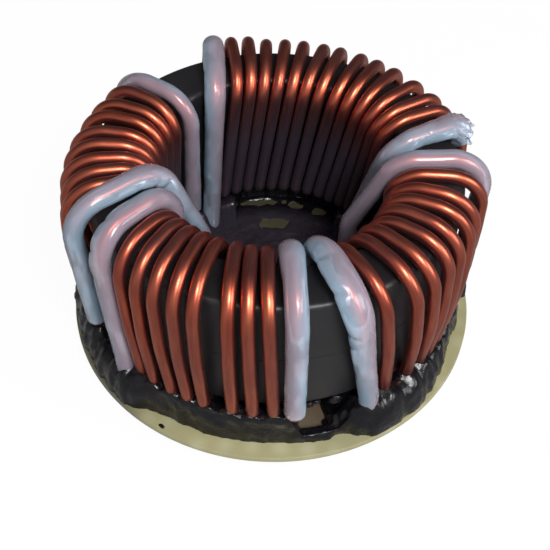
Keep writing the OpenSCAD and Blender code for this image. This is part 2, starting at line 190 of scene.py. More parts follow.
def arch(w, a, d):
    up, push, climb, lean = d[6:]
    out = stand(w["bend"], sleeve_off)
    return [
        (at(case_ro + out + push, a[1], case_z1 + out + up), w["bend"]),
        (at(case_ri - sleeve_in - lean, a[2], case_z1 + sleeve_in + climb), INNER_BEND),
    ]


def first_lead(w):
    a, d = lead_azimuths(w, "first"), w["first"]
    return [(at(sleeve_ro, a[0], foot_z), KNEE_BEND), *arch(w, a, d),
            (at(d[4], a[3], wire_z0), wire_bend)]


def last_lead(w):
    a, d = lead_azimuths(w, "last"), w["last"]
    return [(at(sleeve_ro, a[0], wire_z0), wire_bend), *arch(w, a, d),
            (at(d[4], a[3], d[5]), KNEE_BEND)]


def foot(p, z):
    return Vector((p[0], p[1], z))


def level(a, b, z):
    return a + (b - a) * (z - a.z) / (b.z - a.z)


def wire_route(w):
    s, e = first_lead(w), last_lead(w)
    turns = [corner for k in range(len(w["turns"])) for corner in bare_turn(w, k)]
    return [(foot(s[0][0], -PIN_L), 0), *s, *turns, *e, (foot(e[3][0], -PIN_L), 0)]


def torn_route(w):
    """The back winding's first sleeve, torn off half way round the outer bend."""
    s = first_lead(w)
    up, over = (s[1][0] - s[0][0]).normalized(), (s[2][0] - s[1][0]).normalized()
    turn, bend = up.angle(over), s[1][1]
    half = bend * math.tan(turn / 4)
    end = s[1][0] + over * (bend * math.tan(turn / 2) - half)
    return [(end - (up + over).normalized() * (half + TORN_L), 0), (end, bend), s[2],
            (level(s[2][0], s[3][0], sleeve_z0), 0)]


def sleeve_route(w, end):
    if end == "first" and w is WINDINGS["back"]:
        return torn_route(w)
    if end == "first":
        s = first_lead(w)
        return [(foot(s[0][0], BOARD_T), 0), *s[:3], (level(s[2][0], s[3][0], sleeve_z0), 0)]
    e = last_lead(w)
    return [(level(e[0][0], e[1][0], sleeve_z0), 0), *e[1:], (foot(e[3][0], BOARD_T), 0)]


pin_spots = []
for w in WINDINGS.values():
    pin_spots += [first_lead(w)[0][0].xy, last_lead(w)[3][0].xy]
print("solder pins at", [tuple(round(c, 1) for c in p) for p in pin_spots])


# %% [markdown]
# ## Finishes
#
# A material starts from what the real one is. Colours are written as sRGB hex
# values, as a picker shows them, and one function turns them to the linear values
# that a shader works with. One more adds a node, with its settings and inputs.

# %% Colour and node helpers
def srgb(code):
    parts = [int(code[i:i + 2], 16) / 255 for i in (1, 3, 5)]
    return [c / 12.92 if c <= 0.04045 else ((c + 0.055) / 1.055) ** 2.4 for c in parts] + [1]


def add(tree, kind, inputs=None, **settings):
    """Adds a node; as an input, a whole node stands for the first output it has switched on."""
    made = tree.nodes.new("ShaderNode" + kind)
    for name, value in settings.items():
        setattr(made, name, value)
    for name, value in (inputs or {}).items():
        if isinstance(value, bpy.types.Node):
            value = next(output for output in value.outputs if output.enabled)
        if isinstance(value, bpy.types.NodeSocket):
            tree.links.new(value, made.inputs[name])
        else:
            made.inputs[name].default_value = value
    return made


def new_material(name):
    material = bpy.data.materials.new(name)
    material.use_nodes = True
    tree = material.node_tree
    tree.nodes.clear()
    return material, tree


def plan_radius(tree, place):
    """Node with the distance from the ring's axis, as seen from above."""
    parts = add(tree, "SeparateXYZ", {0: place.outputs["Object"]})
    flat = add(tree, "CombineXYZ", {0: parts.outputs["X"], 1: parts.outputs["Y"]})
    return add(tree, "VectorMath", {0: flat}, operation="LENGTH")


def per_mm(size):
    """Noise scale, in Object coordinates of metres, for features of this size in millimetres."""
    return 1 / (size * MM)


# %% [markdown]
# ### Enamelled copper
#
# Winding wire is drawn copper under a thin baked coat of polyester-imide enamel,
# which reddens it. It is metal seen through a tinted varnish: a metallic shader
# with a smooth coat. Faint streaks run along the wire from drawing, so the
# pattern reads the wire's own straightened coordinates, kept in the attribute
# "rod". A film of dust greys it a little, and painted shade darkens the legs in
# the well towards their feet. The tinned ends below the board are bright solder.

# %% Enamelled copper
def enamelled_copper():
    material, tree = new_material("enamelled_copper")
    rod = add(tree, "Attribute", attribute_name="rod")
    drawn = add(tree, "Mapping", {"Vector": rod.outputs["Vector"], "Scale": (1.2, 1.2, 0.12)})
    streaks = add(tree, "TexNoise", {"Vector": drawn, "Scale": 1.0, "Detail": 4.0})
    place = add(tree, "TexCoord")
    cloud = add(tree, "TexNoise", {"Vector": place.outputs["Object"], "Scale": per_mm(14), "Detail": 3.0})
    tone = add(tree, "MapRange", {"Value": streaks, "From Min": 0.35, "From Max": 0.65})
    enamel = add(tree, "Mix", {0: tone, 6: srgb("#B4533E"), 7: srgb("#D06E4E")}, data_type="RGBA")
    shade = add(tree, "MapRange", {"Value": cloud, "From Min": 0.4, "From Max": 0.7, "To Max": 0.5})
    aged = add(tree, "Mix", {0: shade, 6: enamel, 7: srgb("#8A3F2A")}, data_type="RGBA")
    height = add(tree, "SeparateXYZ", {0: place.outputs["Object"]})
    tinned = add(tree, "MapRange", {
        "Value": height.outputs["Z"], "From Min": 0.9 * MM, "From Max": 0.5 * MM})
    colour = add(tree, "Mix", {0: tinned, 6: aged, 7: srgb("#C9C8C4")}, data_type="RGBA")
    rough = add(tree, "MapRange", {"Value": streaks, "To Min": 0.28, "To Max": 0.42})
    grain = add(tree, "Bump", {"Height": streaks, "Strength": 0.12, "Distance": 0.05 * MM})
    shader = add(tree, "BsdfPrincipled", {
        "Base Color": colour, "Metallic": 1.0, "Roughness": rough,
        "Coat Weight": 0.15, "Coat Roughness": 0.1, "Normal": grain})
    dust = add(tree, "BsdfDiffuse", {"Color": srgb("#77727E")})
    film = add(tree, "MapRange", {
        "Value": cloud, "From Min": 0.3, "From Max": 0.7, "To Min": 0.02, "To Max": 0.07})
    dulled = add(tree, "MixShader", {0: film, 1: shader, 2: dust})
    # Painted shade: the legs in the well are mixed towards a dark grey, more so lower down.
    in_well = add(tree, "MapRange", {
        "Value": plan_radius(tree, place), "From Min": (case_ri + 0.3) * MM,
        "From Max": (case_ri - 0.6) * MM})
    low = add(tree, "MapRange", {
        "Value": height.outputs["Z"], "From Min": (case_z1 - 3) * MM, "From Max": (case_z1 - 14) * MM,
        "To Max": 0.85})
    well_shade_mask = add(tree, "Math", {0: in_well, 1: low}, operation="MULTIPLY")
    painted_well_shade = add(tree, "BsdfPrincipled", {
        "Base Color": srgb("#302A34"), "Roughness": 0.5, "Normal": grain})
    copper_with_well_shade = add(tree, "MixShader", {0: well_shade_mask, 1: dulled, 2: painted_well_shade})
    add(tree, "OutputMaterial", {"Surface": copper_with_well_shade})
    return material


COPPER = enamelled_copper()
print("finish:", COPPER.name)


# %% [markdown]
# ### Milky sleeving
#
# Each wire end wears a tube of soft fluoropolymer or silicone sleeving. It is
# milky: it scatters light but lets the copper behind it show as a warm core. A
# mix of a see-through and a soft shader gives that without heavy glass. The haze
# lies in the outer wall only. The slack side has a bluish tint of its own; the
# taut side, where the wire lies, is painted lilac as the copper's glow through
# the wall. Crumples and small tilted facets break up the sheen.

# %% Milky sleeving
def milky_sleeving():
    material, tree = new_material("milky_sleeving")
    rod = add(tree, "Attribute", attribute_name="rod")
    part = add(tree, "SeparateXYZ", {0: rod.outputs["Vector"]})
    flow = add(tree, "Mapping", {"Vector": rod.outputs["Vector"], "Scale": (0.3, 0.3, 0.1)})
    cloud = add(tree, "TexNoise", {"Vector": flow, "Scale": 1.0})
    drift = add(tree, "Math", {0: cloud, 1: 5.0, 2: -2.5}, operation="MULTIPLY_ADD")
    across = add(tree, "Math", {0: part.outputs["X"], 1: drift}, operation="ADD")
    slack = add(tree, "MapRange", {"Value": across, "From Min": 0.9, "From Max": -2.2})
    # Painted light: lilac on the taut side stands for the copper glowing through the wall; the bluish
    # slack side is the sleeve's own tint.
    tint_and_painted_glow = add(tree, "Mix", {0: slack, 6: srgb("#EEDDF2"), 7: srgb("#C0DDF5")}, data_type="RGBA")
    fold = add(tree, "TexNoise", {
        "Vector": rod.outputs["Vector"], "Scale": 0.6, "Detail": 1.0, "Distortion": 0.5})
    crumple = add(tree, "Bump", {"Height": fold, "Strength": 0.25, "Distance": 0.2 * MM})
    pleat = add(tree, "Mapping", {"Vector": rod.outputs["Vector"], "Scale": (0.4, 0.4, 0.24)})
    cells = add(tree, "TexVoronoi", {"Vector": pleat, "Scale": 1.0})
    tilt = add(tree, "VectorMath", {0: cells.outputs["Color"], 1: (0.5, 0.5, 0.5)},
               operation="SUBTRACT")
    how_much = add(tree, "MapRange", {"Value": slack, "To Min": 0.1, "To Max": 0.5})
    tilt = add(tree, "VectorMath", {0: tilt, "Scale": how_much},
               operation="SCALE")
    flat = add(tree, "VectorMath", {0: crumple, 1: tilt}, operation="ADD")
    flat = add(tree, "VectorMath", {0: flat}, operation="NORMALIZE")
    soft = add(tree, "BsdfDiffuse", {"Color": tint_and_painted_glow, "Normal": flat})
    glow = add(tree, "BsdfTranslucent", {"Color": tint_and_painted_glow})
    milky = add(tree, "MixShader", {0: 0.25, 1: soft, 2: glow})
    clear = add(tree, "BsdfTransparent", {"Color": srgb("#F6F7FA")})
    is_outer = add(tree, "Math", {0: part.outputs["Z"], 1: 0.0}, operation="GREATER_THAN")
    haze = add(tree, "MapRange", {"Value": slack, "To Min": 0.3, "To Max": 0.46})
    haze = add(tree, "Math", {0: haze, 1: is_outer}, operation="MULTIPLY")
    body = add(tree, "MixShader", {0: haze, 1: clear, 2: milky})
    skin = add(tree, "BsdfGlossy", {"Color": srgb("#FFFFFF"), "Roughness": 0.18, "Normal": flat})
    gloss = add(tree, "Fresnel", {"IOR": 1.38, "Normal": crumple})
    mixed = add(tree, "MixShader", {0: gloss, 1: body, 2: skin})
    add(tree, "OutputMaterial", {"Surface": mixed})
    return material


SLEEVING = milky_sleeving()
print("finish:", SLEEVING.name)


# %% [markdown]
# ### Black moulded plastic
#
# The core's case is glass-filled nylon or polyester, injection moulded and dyed
# black. It is satin: a mid roughness with a fine mottle where the glass shows.

# %% Black moulded plastic
def moulded_plastic():
    material, tree = new_material("moulded_black_plastic")
    place = add(tree, "TexCoord")
    mottle = add(tree, "TexNoise", {"Vector": place.outputs["Object"], "Scale": per_mm(5), "Detail": 6.0})
    grain = add(tree, "TexNoise", {"Vector": place.outputs["Object"], "Scale": per_mm(0.4)})
    colour = add(tree, "Mix", {0: mottle, 6: srgb("#19181A"), 7: srgb("#252326")}, data_type="RGBA")
    rough = add(tree, "MapRange", {"Value": mottle, "To Min": 0.34, "To Max": 0.5})
    skin = add(tree, "Bump", {"Height": grain, "Strength": 0.15, "Distance": 0.05 * MM})
    shader = add(tree, "BsdfPrincipled", {
        "Base Color": colour, "Roughness": rough, "IOR": 1.5,
        "Normal": skin})
    add(tree, "OutputMaterial", {"Surface": shader})
    return material


PLASTIC = moulded_plastic()
print("finish:", PLASTIC.name)


# %% [markdown]
# ### Glass-epoxy laminate
#
# The board is woven glass cloth set in yellowish-green epoxy, and its threads
# show as a faint checked weave below the resin. Within the bed's border the
# board is painted brown as shade under the case, and darker still as shade in
# the well, and its left rim is painted darker as shade.

# %% Glass-epoxy laminate
CLOTH = 0.9             # mm between threads: the real 0.5 would be finer than a pixel
CASE_SHADE_R, WELL_R = 38, 33      # the painted shade under the case ends at the first radius and darkens inside the second
SHADED_RIM_AZ = 208          # direction of the painted shade on the rim


def laminate():
    material, tree = new_material("glass_epoxy_laminate")
    place = add(tree, "TexCoord")
    warp, weft = (add(tree, "TexWave", {
        "Vector": place.outputs["Object"], "Scale": per_mm(CLOTH) / 20, "Distortion": 0.4},
        bands_direction=axis) for axis in "XY")
    weave = add(tree, "Math", {0: warp.outputs["Fac"], 1: weft.outputs["Fac"]}, operation="MULTIPLY")
    stain = add(tree, "TexNoise", {"Vector": place.outputs["Object"], "Scale": per_mm(16), "Detail": 5.0})
    cloth = add(tree, "Mix", {0: weave, 6: srgb("#98946F"), 7: srgb("#A5A180")}, data_type="RGBA")
    tone = add(tree, "MapRange", {"Value": stain, "From Min": 0.4, "From Max": 0.7, "To Max": 0.5})
    colour = add(tree, "Mix", {0: tone, 6: cloth, 7: srgb("#857F5E")}, data_type="RGBA")
    thread = add(tree, "Bump", {"Height": weave, "Strength": 0.1, "Distance": 0.03 * MM})
    from_axis = add(tree, "VectorMath", {0: place.outputs["Object"]}, operation="LENGTH")
    # Painted shade: within the bed's border the board is browned as shade under the case, and darker in
    # the well.
    shade_under_case = add(tree, "MapRange", {
        "Value": from_axis, "From Min": CASE_SHADE_R * MM, "From Max": (CASE_SHADE_R + 3) * MM,
        "To Min": 0.85, "To Max": 0.0})
    in_well = add(tree, "MapRange", {
        "Value": from_axis, "From Min": WELL_R * MM, "From Max": (WELL_R - 3) * MM})
    painted_brown_shade = add(tree, "Mix", {0: in_well, 6: srgb("#503F35"), 7: srgb("#2E2B20")}, data_type="RGBA")
    colour = add(tree, "Mix", {0: shade_under_case, 6: colour, 7: painted_brown_shade}, data_type="RGBA")
    # Painted shade: the board's rim on the left side is darkened as shade.
    leftward = add(tree, "VectorMath", {
        0: place.outputs["Object"], 1: at(1, SHADED_RIM_AZ, 0)}, operation="DOT_PRODUCT")
    left_rim_shade = add(tree, "MapRange", {
        "Value": leftward, "From Min": 38 * MM, "From Max": 43 * MM, "To Max": 0.75})
    colour = add(tree, "Mix", {0: left_rim_shade, 6: colour, 7: srgb("#45423A")}, data_type="RGBA")
    shader = add(tree, "BsdfPrincipled", {
        "Base Color": colour, "Roughness": 0.38, "IOR": 1.55,
        "Normal": thread})
    add(tree, "OutputMaterial", {"Surface": shader})
    return material


LAMINATE = laminate()
print("finish:", LAMINATE.name)


# %% [markdown]
# ### Black adhesive
#
# The windings are bedded in a black silicone or epoxy that was spread by hand and
# cured as it lay: glossy and lumpy, with grey dust where it lines the well.

# %% Black adhesive
def adhesive_finish():
    material, tree = new_material("cured_black_adhesive")
    place = add(tree, "TexCoord")
    swell = add(tree, "TexNoise", {
        "Vector": place.outputs["Object"], "Scale": per_mm(2.5), "Detail": 4.0})
    pits = add(tree, "TexNoise", {"Vector": place.outputs["Object"], "Scale": per_mm(1.6)})
    colour = add(tree, "Mix", {0: swell, 6: srgb("#08070A"), 7: srgb("#141217")}, data_type="RGBA")
    in_well = add(tree, "MapRange", {
        "Value": plan_radius(tree, place), "From Min": case_ri * MM, "From Max": (case_ri - 4) * MM,
        "To Max": 0.7})
    colour = add(tree, "Mix", {0: in_well, 6: colour, 7: srgb("#37323B")}, data_type="RGBA")
    rough = add(tree, "MapRange", {
        "Value": pits, "From Min": 0.35, "From Max": 0.65,
        "To Min": 0.16, "To Max": 0.32})
    first = add(tree, "Bump", {"Height": swell, "Strength": 0.5, "Distance": 0.5 * MM})
    second = add(tree, "Bump", {
        "Height": pits, "Strength": 0.12, "Distance": 0.15 * MM,
        "Normal": first})
    shader = add(tree, "BsdfPrincipled", {
        "Base Color": colour, "Roughness": rough, "IOR": 1.41,
        "Normal": second})
    add(tree, "OutputMaterial", {"Surface": shader})
    return material


ADHESIVE = adhesive_finish()
print("finish:", ADHESIVE.name)


# %% [markdown]
# ### Pressed powder core
#
# The core hides inside its case. It is pressed from ferrite or iron powder: matt
# dark grey with a fine grain. Its CAD solid is right as it is, so it stays.

# %% Pressed powder core
def powder_core():
    material, tree = new_material("pressed_powder_core")
    place = add(tree, "TexCoord")
    grain = add(tree, "TexNoise", {
        "Vector": place.outputs["Object"], "Scale": per_mm(0.6), "Detail": 4.0})
    colour = add(tree, "Mix", {0: grain, 6: srgb("#3A3A3C"), 7: srgb("#58585A")}, data_type="RGBA")
    pressed = add(tree, "Bump", {"Height": grain, "Strength": 0.3, "Distance": 0.1 * MM})
    shader = add(tree, "BsdfPrincipled", {"Base Color": colour, "Roughness": 0.75, "Normal": pressed})
    add(tree, "OutputMaterial", {"Surface": shader})
    return material


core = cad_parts["core"]
core.data.materials.clear()
core.data.materials.append(powder_core())
print("finish:", core.data.materials[0].name)


# %% [markdown]
# ## Finishing a piece
#
# Every new mesh ends the same way: scaled to metres, smooth except at real
# edges, and tied to the body it moves with; the CAD node it stands for, if any,
# is hidden.

# %% From bmesh to piece
def grow(bm, edges):
    """Extrudes open edges where they are; returns the new points and the new open edges."""
    new = bmesh.ops.extrude_edge_only(bm, edges=edges)["geom"]
    return ([g for g in new if isinstance(g, bmesh.types.BMVert)],
            [g for g in new if isinstance(g, bmesh.types.BMEdge) and g.is_boundary])


def new_object(name, data):
    made = bpy.data.objects.new(name, data)
    bpy.context.scene.collection.objects.link(made)
    return made


def piece(name, bm, material, stands_for=(), crease=35):
    bmesh.ops.recalc_face_normals(bm, faces=bm.faces[:])
    bmesh.ops.scale(bm, vec=(MM, MM, MM), verts=bm.verts)
    for face in bm.faces:
        face.smooth = True
    for edge in bm.edges:
        if edge.calc_face_angle(0) > math.radians(crease):
            edge.smooth = False
    mesh = bpy.data.meshes.new(name)
    bm.to_mesh(mesh)
    bm.free()
    mesh.materials.append(material)
    made = new_object(name, mesh)
    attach(made, "root")
    if stands_for:
        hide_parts(*stands_for)
    print(f"{name}: {len(mesh.polygons)} faces")


# %% [markdown]
# ## The board
#
# A round laminate board with a drilled hole for each pin. We draw the outline and
# the holes as circles, fill between them, and pull the sheet to its thickness.

# %% Board
bm = bmesh.new()
bmesh.ops.create_circle(bm, segments=256, radius=BOARD_D / 2)
for spot in pin_spots:
    bmesh.ops.create_circle(
        bm, segments=32, radius=WIRE_D / 2 + HOLE_GAP, matrix=Matrix.Translation((*spot, 0)))
bmesh.ops.triangle_fill(bm, use_beauty=True, edges=bm.edges[:])
pulled = bmesh.ops.extrude_face_region(bm, geom=bm.faces[:])["geom"]
bmesh.ops.translate(
    bm, vec=(0, 0, BOARD_T), verts=[g for g in pulled if isinstance(g, bmesh.types.BMVert)])
bmesh.ops.recalc_face_normals(bm, faces=bm.faces[:])
rim = [e for e in bm.edges
       if e.calc_face_angle(0) > 1 and all(v.co.xy.length > BOARD_D / 2 - 0.1 for v in e.verts)]
bmesh.ops.bevel(bm, geom=rim, offset=0.2, segments=2, profile=0.5, affect="EDGES", material=-1)
piece("board", bm, LAMINATE, ["base_plate"])


# %% [markdown]
# ## The case
#
# Two moulded troughs meet at a lap joint half way up. A trough is a turned form,
# so we draw its section once, round the outside corners with a vertex bevel and
# spin it round the axis.

# %% Turned forms
def turned(section, rounded, radius):
    """Spins a closed section of (r, z) corners; those numbered in rounded get the radius."""
    bm = bmesh.new()
    corners = [bm.verts.new((r, 0, z)) for r, z in section]
    bm.faces.new(corners)
    bmesh.ops.bevel(
        bm, geom=[corners[i] for i in rounded], offset=radius, segments=6, profile=0.5,
        affect="VERTICES", material=-1)
    bmesh.ops.delete(bm, geom=bm.faces[:], context="FACES_ONLY")
    bmesh.ops.spin(
        bm, geom=bm.verts[:] + bm.edges[:], axis=(0, 0, 1), angle=2 * math.pi, steps=192,
        use_merge=True)
    bmesh.ops.remove_doubles(bm, verts=bm.verts[:], dist=0.0005)
    return bm


# %% Case halves
SEAM_GAP = 0.06         # half of the gap that shows at the seam
inner_w, outer_w = case_ri + CASE_WALL, case_ro - CASE_WALL
low_z, lip_z, floor_z = seam_z - SEAM_GAP, seam_z + LIP_H, case_z0 + CASE_WALL
lower = [
    (case_ri, case_z0), (case_ro, case_z0), (case_ro, low_z), (outer_w + LIP_T, low_z),
    (outer_w + LIP_T, lip_z), (outer_w, lip_z), (outer_w, floor_z), (inner_w, floor_z),
    (inner_w, lip_z), (inner_w - LIP_T, lip_z), (inner_w - LIP_T, low_z), (case_ri, low_z),
]
piece("case_lower", turned(lower, (0, 1), EDGE_R), PLASTIC, ["core_case_lower"])
high_z, rim_z, roof_z = seam_z + SEAM_GAP, seam_z + LIP_H + LAP_GAP, case_z1 - CASE_WALL
inner_lip, outer_lip = inner_w - LIP_T - LAP_GAP, outer_w + LIP_T + LAP_GAP
upper = [
    (case_ri, high_z), (inner_lip, high_z), (inner_lip, rim_z), (inner_w, rim_z), (inner_w, roof_z),
    (outer_w, roof_z), (outer_w, rim_z), (outer_lip, rim_z), (outer_lip, high_z), (case_ro, high_z),
    (case_ro, case_z1), (case_ri, case_z1),
]
piece("case_upper", turned(upper, (10, 11), EDGE_R), PLASTIC, ["core_case_upper"])


# %% [markdown]
# ## Round stock along a route
#
# Wire and sleeving are both a ring of points carried along a route. We work out
# the places the ring stops at (a straight is a move, a bend a turn about its
# centre), then extrude the ring from each place to the next. Each point also
# remembers where it would lie on the straightened rod, for the finishes.

# %% Places along a route
def places(route, straight=2.5, turn=0.13):
    """(matrix, length so far) of each stop along a route of (corner, bend radius).

    straight and turn are the steps it aims for, in mm and in radians.
    """
    corners = [c for c, _ in route]
    aims = [(b - a).normalized() for a, b in zip(corners, corners[1:])]
    here = Matrix.Translation(corners[0]) @ aims[0].to_track_quat("Z", "Y").to_matrix().to_4x4()
    run, before, stops = 0, 0, [(here, 0)]
    for i, aim in enumerate(aims):
        is_end = i == len(aims) - 1
        radius = 0 if is_end else route[i + 1][1]
        angle = 0 if is_end else aim.angle(aims[i + 1])
        after = radius * math.tan(angle / 2)
        length = (corners[i + 1] - corners[i]).length - before - after
        steps = max(1, round(length / straight))
        for _ in range(steps):
            here = Matrix.Translation(aim * length / steps) @ here
            run += length / steps
            stops.append((here, run))
        if not is_end:
            axis = aim.cross(aims[i + 1]).normalized()
            centre = Matrix.Translation(here.translation + axis.cross(aim) * radius)
            steps = max(2, math.ceil(angle / turn))
            swing = centre @ Matrix.Rotation(angle / steps, 4, axis) @ centre.inverted()
            for _ in range(steps):
                here = swing @ here
                run += radius * angle / steps
                stops.append((here, run))
        before = after
    return stops


def carry(bm, ring, stops):
    """Extrudes the ring's edges from stop to stop; a stop is (matrix, length so far)."""
    rod = bm.verts.layers.float_vector["rod"]
    edges = ring
    for (here, _), (there, run) in zip(stops, stops[1:]):
        verts, edges = grow(bm, edges)
        bmesh.ops.transform(bm, matrix=there @ here.inverted(), verts=verts)
        for v in verts:
            v[rod].z = run
    return edges


def start_ring(bm, radius, sides):
    """A ring at the origin that notes its points' places on the straight rod."""
    rod = bm.verts.layers.float_vector.new("rod")
    bmesh.ops.create_circle(bm, segments=sides, radius=radius)
    for v in bm.verts:
        v[rod] = v.co
    return bm.edges[:]


# %% [markdown]
# ## The windings
#
# Four wires of 2.7 mm, each one continuous piece with its two solder pins. The
# ring starts at the pin's tip, narrow for the bevel and a little fat for the tin.

# %% Windings
WIRE_SIDES, STOP_GAP = 24, 0.2      # STOP_GAP: mm between the pin's stops and the next


def sized(stop, size):
    here, run = stop
    return here @ Matrix.Diagonal((size, size, 1, 1)), run


def winding(name, w):
    bm = bmesh.new()
    ring = start_ring(bm, WIRE_D / 2, WIRE_SIDES)
    stops = places(wire_route(w))
    total, fat = stops[-1][1], 1 + 2 * TIN / WIRE_D
    untinned = PIN_L + BOARD_T / 2
    pin = [(0, fat - 2 * PIN_BEVEL / WIRE_D), (PIN_BEVEL, fat), (PIN_L, fat), (untinned, 1)]
    start = [sized((stops[0][0] @ Matrix.Translation((0, 0, d)), d), s) for d, s in pin]
    end = [sized((stops[-1][0] @ Matrix.Translation((0, 0, -d)), total - d), s)
           for d, s in reversed(pin)]
    margin = untinned + STOP_GAP
    stops = start + [s for s in stops if margin < s[1] < total - margin] + end
    bmesh.ops.transform(bm, matrix=stops[0][0], verts=bm.verts[:])
    far = carry(bm, ring, stops)
    for loop in (ring, far):
        bmesh.ops.edgeloop_fill(bm, edges=loop)
    piece(f"wire_{name}", bm, COPPER, [f"winding_{name}"], crease=50)


for name, w in WINDINGS.items():
    winding(name, w)


# %% [markdown]
# ## The sleeves
#
# A sleeve is a thin tube: the ring goes along the route at the outer size, turns
# in at the far end and comes back at the inner size, and the two ends are bridged.
# Where it rounds the core the tube flattens, so it is wider than it is thick. Then
# its slack side is pressed in, folded and rippled, and the one torn end frays.

# %% Sleeve shapes
# Along each sleeve, from its start to its end: share of the length, then width and
# thickness over those of the round tube. A "first" lead starts at its foot outside
# the case, a "last" one in the well; the outer leg takes about half of the length.
SHAPES = {
    "back_right": [(0, 1.5, 1.1), (0.08, 1.3, 0.95), (0.2, 1.1, 0.9), (0.4, 1.02, 0.9), (1, 0.95, 0.95)],
    "back_left": [(0, 0.95, 0.9), (0.3, 1, 0.9), (0.45, 1.12, 0.88), (0.55, 1.1, 0.9), (0.7, 1, 0.95),
                  (1, 0.95, 0.95)],
    "left_rear": [(0, 0.95, 0.9), (0.45, 0.86, 0.8), (0.6, 0.8, 0.78), (0.8, 0.78, 0.8), (1, 0.9, 0.9)],
    "left_front": [(0, 1, 0.95), (0.36, 1, 0.9), (0.44, 1.15, 0.88), (0.5, 1.3, 0.84), (0.56, 1.02, 0.92),
                   (0.7, 1.05, 0.92), (0.85, 1, 0.95), (1, 0.95, 0.95)],
    "front_left": [(0, 0.95, 0.95), (0.2, 1, 0.95), (0.38, 1.12, 0.9), (0.45, 1.25, 0.85),
                   (0.52, 1.1, 0.88), (0.62, 1.05, 0.9), (1, 1, 1)],
    "front_right": [(0, 1, 0.95), (0.4, 1, 0.9), (0.5, 1.12, 0.9), (0.56, 1.02, 0.92), (0.635, 1.3, 0.85),
                    (0.7, 1.08, 0.92), (0.76, 1.12, 0.9), (0.85, 1.02, 0.95), (1, 0.95, 0.95)],
    "right_front": [(0, 0.92, 0.92), (0.2, 1, 0.95), (0.38, 1.2, 0.88), (0.46, 1.35, 0.82),
                    (0.56, 1.35, 0.82), (0.66, 1.1, 0.9), (1, 1, 1)],
    "right_rear": [(0, 0.95, 0.9), (0.36, 0.95, 0.85), (0.5, 0.9, 0.82), (0.6, 0.92, 0.85),
                   (1, 0.95, 0.95)],
}
# Folds: share of the length, angle round the tube (0 is the side that the wire lies
# on, 90 faces away from the core, 180 is the slack side), depth, half length, slant
# along the tube per radian, all in mm
FOLDS = {
    "back_right": [(0.2, 150, 0.5, 0.8, 0.5), (0.3, 100, 0.3, 0.6, -0.6), (0.12, 60, 0.3, 0.5, 0.8)],
    "back_left": [(0.42, 120, 0.25, 1.5, 0.4), (0.5, 150, 0.3, 0.8, 0)],
    "left_rear": [(0.5, 150, 0.3, 1.2, 0.3)],
    "left_front": [(0.54, 190, 0.9, 0.8, 0.5), (0.5, 150, 0.4, 0.6, 1), (0.6, 160, 0.3, 0.7, -0.6),
                   (0.46, 120, 0.3, 0.8, 0.4)],
    "front_left": [(0.44, 180, 0.8, 0.7, 0.4), (0.5, 150, 0.5, 0.5, -0.8), (0.38, 130, 0.3, 0.8, 0)],
    "front_right": [(0.62, 170, 0.6, 0.5, 0.9), (0.65, 150, 0.5, 0.4, -0.9), (0.74, 160, 0.4, 0.5, 0.6),
                    (0.52, 150, 0.45, 0.6, 0.5)],
    "right_front": [(0.39, 175, 0.7, 0.5, 0.8), (0.34, 165, 0.5, 0.45, -0.8), (0.5, 165, 0.5, 0.5, 0.8),
                    (0.58, 150, 0.5, 0.6, 0.3)],
    "right_rear": [(0.55, 150, 0.3, 1.0, 0.4), (0.4, 120, 0.25, 1.2, 0)],
}
WALL, SLEEVE_SIDES = 0.3, 40
CLING = 0.06                        # the tube is never pressed closer to the wire than this
PRESSED, RIPPLE, RIPPLE_L = 0.35, 0.08, 3.5     # depths in mm, and the length of a ripple
FRAYED, TATTER, FLARE = 4, 2.2, 0.6     # length of the frayed end, its ragged edge, how far it opens


# %% Wear on a sleeve
def eased(keys, t):
    for a, b in zip(keys, keys[1:]):
        if t <= b[0]:
            u = (t - a[0]) / (b[0] - a[0])
            u = u * u * (3 - 2 * u)
            return [p + (q - p) * u for p, q in zip(a[1:], b[1:])]
    return keys[-1][1:]


def worn(bm, name, centres, total):
    """Lays the tube's slack side flat, folds it, and frays a torn end."""
    rod = bm.verts.layers.float_vector["rod"]
    for v in bm.verts:
        is_outer, run = v[rod].z >= 0, abs(v[rod].z)
        _, middle, side, out, ahead = min(centres, key=lambda c: abs(c[0] - run))
        spoke = v.co - middle
        spoke -= ahead * spoke.dot(ahead)
        angle = math.atan2(spoke.dot(out), spoke.dot(side))
        v[rod].x, v[rod].y = math.cos(angle) * SLEEVE_OD / 2, math.sin(angle) * SLEEVE_OD / 2
        length = spoke.length
        slack = max(0, -math.cos(angle)) * max(0, length / (SLEEVE_OD / 2) - 0.9)
        press = PRESSED * slack * abs(math.sin(angle)) + RIPPLE * noise.noise(v.co / RIPPLE_L)
        for share, where, depth, reach, slant in FOLDS[name]:
            off = (angle - math.radians(where) + math.pi) % (2 * math.pi) - math.pi
            near = abs(run - share * total - slant * off) / reach
            press += depth * math.exp(-near) * max(0, math.cos(off)) ** 2
        least = WIRE_D / 2 + CLING + (WALL if is_outer else 0)
        v.co += spoke.normalized() * (max(least, length - press) - length)
        if name == "back_right" and run < FRAYED:
            pull = 1 - run / FRAYED
            ragged = TATTER * noise.noise(Vector((4 * math.cos(angle), 4 * math.sin(angle), 2)))
            v.co -= ahead * pull * (0.8 + ragged)
            v.co += spoke.normalized() * pull * (FLARE + 0.9 * noise.noise(v.co / 0.9))


